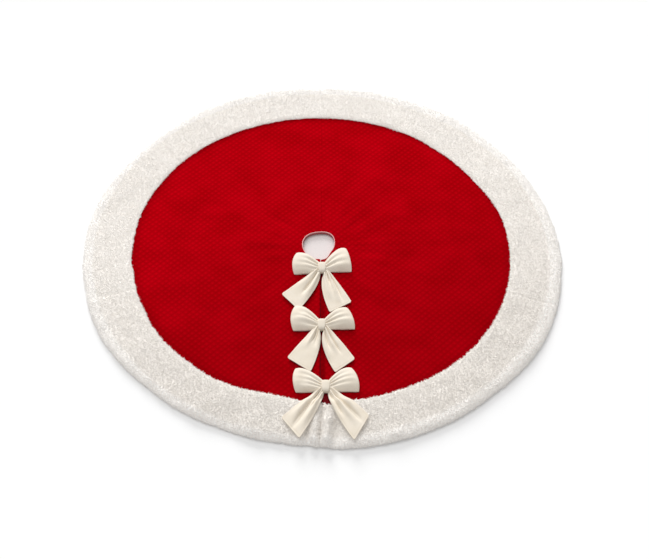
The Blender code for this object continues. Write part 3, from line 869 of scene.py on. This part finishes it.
def buildTuftTree(w, given, result):
    def named(label, kind):
        return w.node("GeometryNodeInputNamedAttribute", {"Name": label}, data_type=kind).outputs[0]

    def random(kind, low, high, offset):
        made = w.node("FunctionNodeRandomValue", {"Min": low, "Max": high}, data_type=kind)
        w.plug(w.plus(given["Seed"], offset), made.inputs["Seed"])
        return next(s for s in made.outputs if s.enabled)

    lock = {"Vertices": 3, "Side Segments": 2, "Radius Top": 0.0, "Radius Bottom": 1.0, "Depth": 1.0}
    lock = w.node("GeometryNodeMeshCone", lock, fill_type="NONE").outputs["Mesh"]
    up = w.parts(w.position())[2]
    bent = w.joined(w.times(up, up, tufts["bend"]))
    lock = w.node("GeometryNodeSetPosition", {"Geometry": lock, "Offset": bent}).outputs[0]
    lock = w.node("GeometryNodeStoreNamedAttribute", {"Geometry": lock, "Name": "tip", "Value": up},
                  data_type="FLOAT", domain="POINT").outputs[0]

    density = w.times(given["Density"], named("plush", "FLOAT"))
    strewn = w.node("GeometryNodeDistributePointsOnFaces",
                    {"Mesh": given["Backing"], "Density": density, "Seed": given["Seed"]},
                    distribute_method="RANDOM")
    wild = random("FLOAT_VECTOR", (-1.0, -1.0, -0.2), (1.0, 1.0, 0.2), 3)
    combed = w.scaled(named("combWay", "FLOAT_VECTOR"), given["Comb"])
    lean = w.vector("ADD", w.scaled(strewn.outputs["Normal"], given["Stand"]), combed)
    lean = w.vector("ADD", lean, w.scaled(wild, given["Curl"]))
    turn = w.node("FunctionNodeAlignRotationToVector", {"Vector": lean}, axis="Z").outputs[0]
    spin = w.joined(z=random("FLOAT", 0.0, math.tau, 5))
    turn = w.node("FunctionNodeRotateRotation", {"Rotation": turn, "Rotate By": spin},
                  rotation_space="LOCAL").outputs[0]
    size = random("FLOAT", *tufts["sizes"], 7)
    wide = w.times(given["Width"], size)
    scale = w.joined(wide, wide, w.times(given["Length"], size))
    locks = w.node("GeometryNodeInstanceOnPoints", {"Points": strewn.outputs["Points"], "Instance": lock,
                                                    "Rotation": turn, "Scale": scale}).outputs[0]
    both = w.tree.nodes.new("GeometryNodeJoinGeometry")
    w.plug(locks, both.inputs[0])
    w.plug(given["Backing"], both.inputs[0])
    cloth = w.node("GeometryNodeRealizeInstances", {"Geometry": both.outputs[0]}).outputs[0]
    x, y, level = w.parts(w.position())
    grounded = w.joined(x, y, w.math("MAXIMUM", level, tufts["lowest"]))
    cloth = w.node("GeometryNodeSetPosition", {"Geometry": cloth, "Position": grounded}).outputs[0]
    w.finishCloth(cloth, given["Material"], result)


buildTuftTree(tuftWires, tuftIn, tuftOut)
# node, first and last angle, the flap it lies on, and how fluffy it is
lengths = [("fur_front_left", 198, 270, "left", 1.0), ("fur_front_right", 270, 342, "right", 1.0),
           ("fur_back_right", 342, 414, None, 0.3), ("fur_back", 54, 126, None, 0.2),
           ("fur_back_left", 126, 198, None, 0.4)]
for k, (node, start, end, flap, fluff) in enumerate(lengths):
    backing = plushBacking(f"{node}_plush", start, end, fluff)
    piece = grow(f"{node}_plush", tuftWires.tree, {
        "Density": tufts["density"] * (0.94 + 0.06 * fluff), "Length": tufts["length"] * (0.9 + 0.2 * fluff),
        "Width": tufts["width"], "Stand": tufts["stand"], "Comb": tufts["comb"], "Curl": tufts["curl"],
        "Seed": tufts["seed"] + k, "Material": creamPlush,
    }, backing)
    if flap:
        bendAt(piece)
    else:
        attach(piece, "skirt_back")
    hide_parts(node)
    print("  ", piece.name, len(piece.data.polygons), "faces")


# stitches

stitchWires, stitchIn, stitchOut = newGroup("stitchRow", "GeometryNodeTree", {
    "Path": "Geometry", "Pitch": 0.0035, "Length": 0.0024, "Thread": 0.0005, "Material": "Material",
}, {"Geometry": "Geometry"})


def buildStitchTree(w, given, result):
    line = w.node("GeometryNodeMeshToCurve", {0: given["Path"]}).outputs[0]
    dots = w.node("GeometryNodeCurveToPoints", {"Curve": line, "Length": given["Pitch"]}, mode="LENGTH")
    along = dots.outputs["Tangent"]
    turn = w.node("FunctionNodeAlignRotationToVector", {"Vector": along}, axis="X").outputs[0]
    bead = w.node("GeometryNodeMeshUVSphere", {"Segments": 6, "Rings": 5, "Radius": 0.5}).outputs["Mesh"]
    size = w.joined(given["Length"], given["Thread"], given["Thread"])
    beads = w.node("GeometryNodeInstanceOnPoints", {"Points": dots.outputs["Points"], "Instance": bead,
                                                    "Rotation": turn, "Scale": size}).outputs[0]
    w.finishCloth(beads, given["Material"], result)


buildStitchTree(stitchWires, stitchIn, stitchOut)


def stitchAlong(name, paths, thread, material, pitch=0.0036, length=0.0025):
    path = bpy.data.meshes.new(name)
    points, edges = [], []
    for line in paths:
        edges += [(len(points) + k, len(points) + k + 1) for k in range(len(line) - 1)]
        points += [tuple(map(float, p)) for p in line]
    path.from_pydata(points, edges, [])
    settings = {"Pitch": pitch, "Length": length, "Thread": thread, "Material": material}
    row = grow(name, stitchWires.tree, settings, path)
    keepRest(row.data)
    return row


for side in ("left", "right"):
    ring = []
    for angle in halfTurn(side, 90)[:-2]:
        reach = holeEdge(angle) + 0.0052
        ring.append((reach * math.cos(angle), reach * math.sin(angle), redLevel - 0.0001))
    row = stitchAlong(f"hole_stitches_{side}", [ring], 0.0006, redThread)
    bendAt(row)
tongueLow, tongueHigh = np.array(tongue.bound_box).min(0), np.array(tongue.bound_box).max(0)
seamLeft, seamRight = tongueLow[0] + 0.0012, tongueHigh[0] - 0.0012
seamLevel = tongueHigh[2] + 0.0001
along = np.linspace(tongueLow[1] + 0.0014, tongueHigh[1], 12)
row = stitchAlong("placket_end_stitches", [
    [(seamLeft, y, seamLevel) for y in along],
    [(x, tongueLow[1] + 0.0016, seamLevel) for x in np.linspace(seamLeft, seamRight, 8)],
    [(seamRight, y, seamLevel) for y in along],
], 0.0005, redThread, 0.003, 0.002)
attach(row, "right_flap")


# three velvet bows

print("bows")

# Places are millimetres from the middle of the knot. Across a loop runs from -1 at the front edge to 1, and
# across a tail from -1 at the outer edge to 1. A pleat is (place across, depth, width), and a fold is (place
# across at the root, the same at the end, rise, width, reach).
bowShapes = [
    {
        "loops": {
            "left": {"back": (-65.5, 48), "front": (-70, -19), "bulge": 7,
                "pleats": [(0.42, 6, 0.17), (-0.12, 5, 0.15), (-0.6, 3.5, 0.15)]},
            "right": {"back": (60.6, 65), "front": (74.2, -8.5), "bulge": 3,
                "pleats": [(0.3, 6.5, 0.17), (-0.28, 5.5, 0.15), (0.75, 2, 0.13)]},
        },
        "tails": {
            "left": {"outer": (-101, -84), "inner": (-57, -135), "outerBow": -2, "innerBow": 18,
                "folds": [(-0.12, 0.36, -8, 0.17, 0.74), (0.42, 0.7, 4.5, 0.3, 0.85),
                          (-0.55, -0.5, 3, 0.4, 0.7)]},
            "right": {"outer": (73.7, -107), "inner": (18.1, -142), "outerBow": 3, "innerBow": 20,
                "folds": [(-0.22, 0.1, -7.5, 0.15, 0.46), (-0.75, -0.34, -6.5, 0.12, 0.92),
                          (-0.4, -0.1, 4, 0.2, 0.9), (0.45, 0.5, 4.5, 0.3, 0.8)]},
        },
    },
    {
        "loops": {
            "left": {"back": (-65.5, 57), "front": (-68.5, -15.5), "bulge": 8,
                "pleats": [(0.45, 5, 0.16), (0.02, 3, 0.08), (-0.5, 5, 0.15)]},
            "right": {"back": (62.8, 53), "front": (80.7, -9), "bulge": 4,
                "pleats": [(0.42, 5.5, 0.15), (-0.05, 6, 0.14), (-0.55, 3, 0.13)]},
        },
        "tails": {
            "left": {"outer": (-82.7, -97), "inner": (-25.4, -139), "outerBow": 2, "innerBow": 16,
                "folds": [(-0.02, 0.12, -8, 0.12, 0.46), (0.55, 0.55, 5, 0.32, 0.44),
                          (0.4, 0.4, -5, 0.22, 0.52), (-0.35, -0.25, 4, 0.22, 0.62),
                          (0.85, 0.8, 3, 0.2, 0.6)]},
            "right": {"outer": (80.3, -99), "inner": (31.5, -141), "outerBow": 3, "innerBow": 23,
                "folds": [(0.3, 0.52, -8, 0.12, 0.58), (-0.05, 0.12, 5, 0.18, 0.72),
                          (-0.38, -0.24, -7, 0.11, 0.76), (0.75, 0.8, 4, 0.25, 0.8),
                          (-0.7, -0.6, 3, 0.3, 0.7)]},
        },
    },
    {
        "loops": {
            "left": {"back": (-72, 50), "front": (-69.9, -14.5), "bulge": 6,
                "pleats": [(0.4, 5.5, 0.15), (-0.05, 5, 0.14), (-0.45, 4, 0.13)]},
            "right": {"back": (61.5, 53), "front": (77.2, -11), "bulge": 6,
                "pleats": [(0.5, 5, 0.14), (0.12, 5, 0.12), (-0.35, 5, 0.14)]},
        },
        "tails": {
            "left": {"outer": (-103, -91), "inner": (-60, -149), "outerBow": -2, "innerBow": 13,
                "folds": [(-0.3, 0.1, -9, 0.15, 0.98), (-0.6, -0.45, 4, 0.26, 0.9),
                          (0.45, 0.55, 4.5, 0.26, 0.95), (0.15, 0.42, -3.5, 0.1, 0.6)]},
            "right": {"outer": (100, -83), "inner": (64, -153), "outerBow": 5, "innerBow": 17,
                "folds": [(0.42, 0.62, -9, 0.14, 0.66), (-0.12, -0.34, -8, 0.13, 0.96),
                          (0.12, 0.08, 5, 0.2, 0.9), (-0.55, -0.7, 3.5, 0.25, 0.8),
                          (0.85, 0.85, 3, 0.2, 0.8)]},
        },
    },
]
ribbon = {"thick": 0.0015, "loopRows": 92, "loopColumns": 46, "tailRows": 84, "tailColumns": 56,
          "bendBefore": 0.003, "bendAfter": 0.015, "seamFrom": 22, "seamTo": 5, "seamSide": 0.08}


def skirtLevel(x, y):
    # top of the skirt under a bow
    reach = np.hypot(x, y)
    onPlush = smoothStep(reach, redRadius - 0.012, redRadius + 0.016)
    return redLevel + 0.0010 + (furLevel + 0.0015 - redLevel) * onPlush


loopForm = {"root": (0.005, 0.0135, -0.0115),  # to the side, of the back edge and of the front edge
            "under": (0.0125, -0.0022, 0.0015), "rise": 0.0085, "ripple": 0.0005, "lump": (0.0014, 0.021),
            "clearance": 0.0008}
tailForm = {"outerRoot": (0.0100, 0.0030), "innerRoot": (0.0048, -0.0150), "rootLevel": (0.0160, -0.003),
            "clearance": 0.0012, "raised": 0.0022, "pleat": 0.0016, "belly": 0.0026, "lump": (0.0007, 0.024),
            "rounding": 0.03}


def grid(first, rows, columns):
    return np.meshgrid(np.linspace(first, 1, rows), np.linspace(-1, 1, columns), indexing="ij")


def loopPoints(shape, sign, knot):
    back, front = np.array(shape["back"]) / 1000, np.array(shape["front"]) / 1000
    t, v = grid(-1, ribbon["loopRows"], ribbon["loopColumns"])
    upper = t < 0
    along = (1 - np.abs(t) ** 1.9) * (1 - 0.012 * np.abs(v) ** 8)
    share = (v + 1) / 2
    rootX, rootBack, rootFront = loopForm["root"]
    rootX = sign * rootX
    backEdge = rootBack + (back[1] - rootBack) * (1 - (1 - along) ** 2.0)
    frontEdge = rootFront + (front[1] - rootFront) * (1 - (1 - along) ** 1.6)
    tipX = front[0] + (back[0] - front[0]) * share + sign * shape["bulge"] / 1000 * (1 - v**2) * along**3
    x = knot.x + rootX + (tipX - rootX) * along
    y = knot.y + frontEdge + (backEdge - frontEdge) * share
    tipEase = np.sqrt(np.clip(1 - (np.clip(along - 0.74, 0, 1) / 0.26) ** 2, 0, 1))
    crown = 1 - np.where(v < 0, 0.88, 0.30 + 0.24 * along**2) * np.abs(v) ** 2.6
    level, fall, lean = loopForm["under"]
    under = level + fall * smoothStep(along, 0.0, 0.5)
    under = under + lean * smoothStep(v, -0.2, 1.0) * smoothStep(along, 0.2, 0.9)
    rise = loopForm["rise"] * (1 + smoothStep(along, 0.0, 0.60)) * crown
    z = under + 0.5 * rise * (1 + np.where(upper, 1, -1) * tipEase) + np.where(upper, 0.0, 0.0006)
    fade = np.clip(1 - along / 0.98, 0, 1) ** 0.62 * smoothStep(along, -0.05, 0.14) * np.clip(crown, 0.15, 1)
    for place, depth, width in shape["pleats"]:
        drawn = np.exp(-(((v - place - 0.05 * along) / (width * (0.85 + 0.9 * along))) ** 2))
        z = z - np.where(upper, depth / 1000, 0.0) * drawn * fade
    ripple = np.cos(9 * v + 2.0 * sign + knot.y * 40) * (1 - along) * smoothStep(along, 0.0, 0.2)
    z = z + np.where(upper, loopForm["ripple"], 0) * ripple
    points = np.stack([x, y, z], -1)
    height, size = loopForm["lump"]
    soft = lump(points.reshape(-1, 3), size, 2.3 + knot.y).reshape(z.shape)
    points[..., 2] += height * soft * smoothStep(along, 0.15, 0.5) * tipEase
    points[..., 2] = np.maximum(points[..., 2], skirtLevel(x, y) + loopForm["clearance"])
    return points


def tailPoints(shape, sign, knot):
    outer, inner = np.array(shape["outer"]) / 1000, np.array(shape["inner"]) / 1000
    u, v = grid(0, ribbon["tailRows"], ribbon["tailColumns"])
    u = 1 - (1 - u) ** 1.12

    def edge(first, last, bow, at):
        way = last - first
        side = np.array([-way[1], way[0]]) / np.linalg.norm(way)
        turn = first + way * at + side * bow / 1000
        k = u[..., None]
        return first * (1 - k) ** 2 + 2 * turn * k * (1 - k) + last * k**2

    roots = [np.array([sign, 1]) * tailForm[label] for label in ("outerRoot", "innerRoot")]
    outerLine = edge(roots[0], outer, sign * shape["outerBow"], 0.5)
    innerLine = edge(roots[1], inner, -sign * shape["innerBow"], 0.32)
    rounded = tailForm["rounding"] * (np.clip(np.abs(v) - 0.84, 0, 1) / 0.16) ** 2 * u**6
    share = (v + 1) / 2
    plan = outerLine + (innerLine - outerLine) * share[..., None]
    plan = plan * (1 - rounded[..., None])
    x, y = knot.x + plan[..., 0], knot.y + plan[..., 1]
    ground = skirtLevel(x, y) + tailForm["clearance"]
    rootLevel = tailForm["rootLevel"][0] + tailForm["rootLevel"][1] * share
    easing = smoothStep(u, 0.02, 0.42)
    base = rootLevel + (ground + tailForm["raised"] - rootLevel) * easing
    base = np.maximum(base, ground)
    pleat = tailForm["pleat"] * np.cos(v * 10.5 + sign) * (1 - smoothStep(u, 0.0, 0.30))
    z = base + pleat + tailForm["belly"] * (1 - np.abs(v) ** 4) * (1 - smoothStep(u, 0.5, 1.0))
    for rootPlace, endPlace, rise, width, reach in shape["folds"]:
        middle = rootPlace + (endPlace - rootPlace) * u
        spread = width * (0.50 + 0.75 * u)
        strength = smoothStep(u, 0.0, 0.14) * (1 - smoothStep(u, reach - 0.28, reach + 0.06))
        z = z + rise / 1000 * np.exp(-(((v - middle) / spread) ** 2)) * strength
    points = np.stack([x, y, z], -1)
    height, size = tailForm["lump"]
    soft = lump(points.reshape(-1, 3), size, 4.4 + knot.y).reshape(z.shape)
    points[..., 2] += height * soft * smoothStep(u, 0.2, 0.6)
    points[..., 2] = np.maximum(points[..., 2], ground - 0.0002 + 0.0006 * (1 - v**2))
    length = np.linalg.norm((outer + inner) / 2)
    wide = np.linalg.norm(outerLine - innerLine, axis=-1)
    hem = np.minimum(np.minimum(share, 1 - share) * wide, (1 - u) * length)
    return points, hem


def clothPiece(name, points, thick, material, hem=None):
    rows, columns = points.shape[:2]
    mesh = meshFrom(name, points.reshape(-1, 3), gridFaces(rows, columns), material)
    fromEdge = np.full(rows * columns, 0.05) if hem is None else hem  # loops show no hem
    kept = mesh.attributes.new("hemPlace", "FLOAT", "POINT")
    kept.data.foreach_set("value", fromEdge.astype(np.float32).ravel())
    piece = newObject(name, mesh)
    wall = piece.modifiers.new("thickness", "SOLIDIFY")
    wall.thickness = thick
    wall.offset = 0
    settle(piece)
    facesOutward(piece.data)
    piece.data.shade_smooth()
    return piece


def knotPiece(name, low, high):
    high = high + Vector((0.0012, 0, 0.0032))
    low = low - Vector((0.0012, 0, 0))
    middle, half = (low + high) / 2, (high - low) / 2 * 1.04
    rows, columns, points = 21, 56, []
    creases = [(-0.5, 0.00030), (0.05, 0.00022), (0.52, 0.00030)]
    for i in range(rows):
        across = -math.cos(math.pi * i / (rows - 1))
        size = max(1e-4, (1 - abs(across) ** 5)) ** 0.34
        dent = sum(depth * math.exp(-(((across - at) / 0.10) ** 2)) for at, depth in creases)
        for j in range(columns):
            turn = math.tau * j / columns
            c, s = math.cos(turn), math.sin(turn)
            y = math.copysign(abs(c) ** 0.62, c) * (half.y * (0.94 + 0.06 * size) * size - dent)
            z = math.copysign(abs(s) ** 0.75, s) * (half.z * size - dent)
            points.append((middle.x + half.x * across * (1 + 0.10 * c), middle.y + y, middle.z + z))
    faces = gridFaces(rows, columns, closeColumns=True) + tubeEnds(rows, columns)
    mesh = meshFrom(name, points, faces, knotVelvet)
    facesOutward(mesh, 20 * weldWithin)
    return newObject(name, mesh)


for number, shapes in enumerate(bowShapes, start=1):
    low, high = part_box(f"bow_{number}_knot")
    middle = (low + high) / 2
    knot = knotPiece(f"bow_{number}_knot_velvet", low, high)
    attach(knot, "left_flap")
    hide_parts(f"bow_{number}_knot")
    for side, sign in (("left", -1), ("right", 1)):
        points = loopPoints(shapes["loops"][side], sign, middle)
        loop = clothPiece(f"bow_{number}_loop_{side}_velvet", points, ribbon["thick"], bowVelvet)
        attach(loop, "left_flap")
        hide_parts(f"bow_{number}_loops")
        points, hem = tailPoints(shapes["tails"][side], sign, middle)
        tail = clothPiece(f"bow_{number}_tail_{side}_velvet", points, ribbon["thick"], bowVelvet, hem)
        body = f"bow_{number}_tail_body_{side}"
        way, place = awayFromHinge(body), hingePlace[body]
        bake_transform(tail)
        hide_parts(f"bow_{number}_tail_{side}")
        columns, lastRow = ribbon["tailColumns"], ribbon["tailRows"] - ribbon["seamTo"]
        first, last = int(columns * ribbon["seamSide"]), int(columns * (1 - ribbon["seamSide"]))
        raised = points + np.array([0, 0, ribbon["thick"] / 2 + 0.00005])
        seam = [raised[k, first] for k in range(ribbon["seamFrom"], lastRow)]
        seam += [raised[lastRow, k] for k in range(first, last + 1)]
        seam += [raised[k, last] for k in range(lastRow, ribbon["seamFrom"], -1)]
        stitches = stitchAlong(f"bow_{number}_tail_{side}_stitches", [seam], 0.00040, creamThread, 0.0030,
                               0.0021)
        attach(stitches, body)


# floor, light and camera

print("floor, light and camera")


def paperFloor():
    # white paper that glows a little, with painted shade under the skirt
    material = bpy.data.materials.new("paperWhite")
    material.use_nodes = True
    wires = Wires(material.node_tree)
    shader = material.node_tree.nodes["Principled BSDF"]
    place = wires.node("ShaderNodeTexCoord").outputs["Object"]
    # painted shade: within 10 to 30 cm of the middle the paper turns a dim, faintly mottled pinkish grey with
    # no glow
    away = wires.remap(wires.vector("LENGTH", place), 0.10, 0.30)
    shadedPaper = wires.mixed(wires.grain(place, 40.0, 2.0), (0.73, 0.675, 0.665, 1), (0.75, 0.695, 0.685, 1))
    wires.plug(wires.mixed(away, shadedPaper, (0.866, 0.866, 0.866, 1)), shader.inputs["Base Color"])
    wires.plug(wires.mixed(away, (0, 0, 0, 1), (1, 1, 1, 1)), shader.inputs["Emission Color"])
    shader.inputs["Emission Strength"].default_value = 0.02
    shader.inputs["Roughness"].default_value = 1.0
    shader.inputs["Specular IOR Level"].default_value = 0.0
    return material


floorMesh = bpy.data.meshes.new("studio_floor")
size, level = 30, -0.0004
corners = [(-size, -size, level), (size, -size, level), (size, size, level), (-size, size, level)]
floorMesh.from_pydata(corners, [], [(0, 1, 2, 3)])
floorMesh.materials.append(paperFloor())
floor = newObject("studio_floor", floorMesh)

# a lamp is (name, strength, spread in degrees, direction it shines from)
studio = {"sky": 0.48, "lamps": [("highSun", 1.24, 40, (-0.35, 0.55, 1.2)),
                                 ("lowSun", 2.6, 24, (-0.16, 1.0, 0.42))]}
world = bpy.data.worlds.new("studio")
bpy.context.scene.world = world
world.use_nodes = True
world.node_tree.nodes["Background"].inputs["Color"].default_value = (1.0, 1.0, 1.0, 1)
world.node_tree.nodes["Background"].inputs["Strength"].default_value = studio["sky"]
for label, strength, spread, place in studio["lamps"]:
    lamp = bpy.data.lights.new(label, "SUN")
    lamp.energy = strength
    lamp.angle = math.radians(spread)
    sun = bpy.data.objects.new(label, lamp)
    sun.rotation_euler = Vector(place).to_track_quat("Z", "Y").to_euler()
    bpy.context.scene.collection.objects.link(sun)
bpy.context.scene.view_settings.view_transform = "Standard"

view = {"lens": 70.0, "around": -1.0, "above": 49.763, "distance": 3.1813, "aim": (0.0082, -0.1025, 0.0),
        "roll": 1.3066}
around, above, roll = (math.radians(view[k]) for k in ("around", "above", "roll"))
backward = Vector((math.sin(around) * math.cos(above), -math.cos(around) * math.cos(above), math.sin(above)))
rightward = Vector((math.cos(around), math.sin(around), 0))
upward = backward.cross(rightward)
turnedRight = math.cos(roll) * rightward + math.sin(roll) * upward
turnedUp = -math.sin(roll) * rightward + math.cos(roll) * upward
camera = bpy.data.objects.new("camera", bpy.data.cameras.new("camera"))
camera.data.lens = view["lens"]
camera.data.clip_end = 200
turned = Matrix((turnedRight, turnedUp, backward)).transposed().to_4x4()
camera.matrix_world = Matrix.Translation(Vector(view["aim"]) + backward * view["distance"]) @ turned
bpy.context.scene.collection.objects.link(camera)
bpy.context.scene.camera = camera
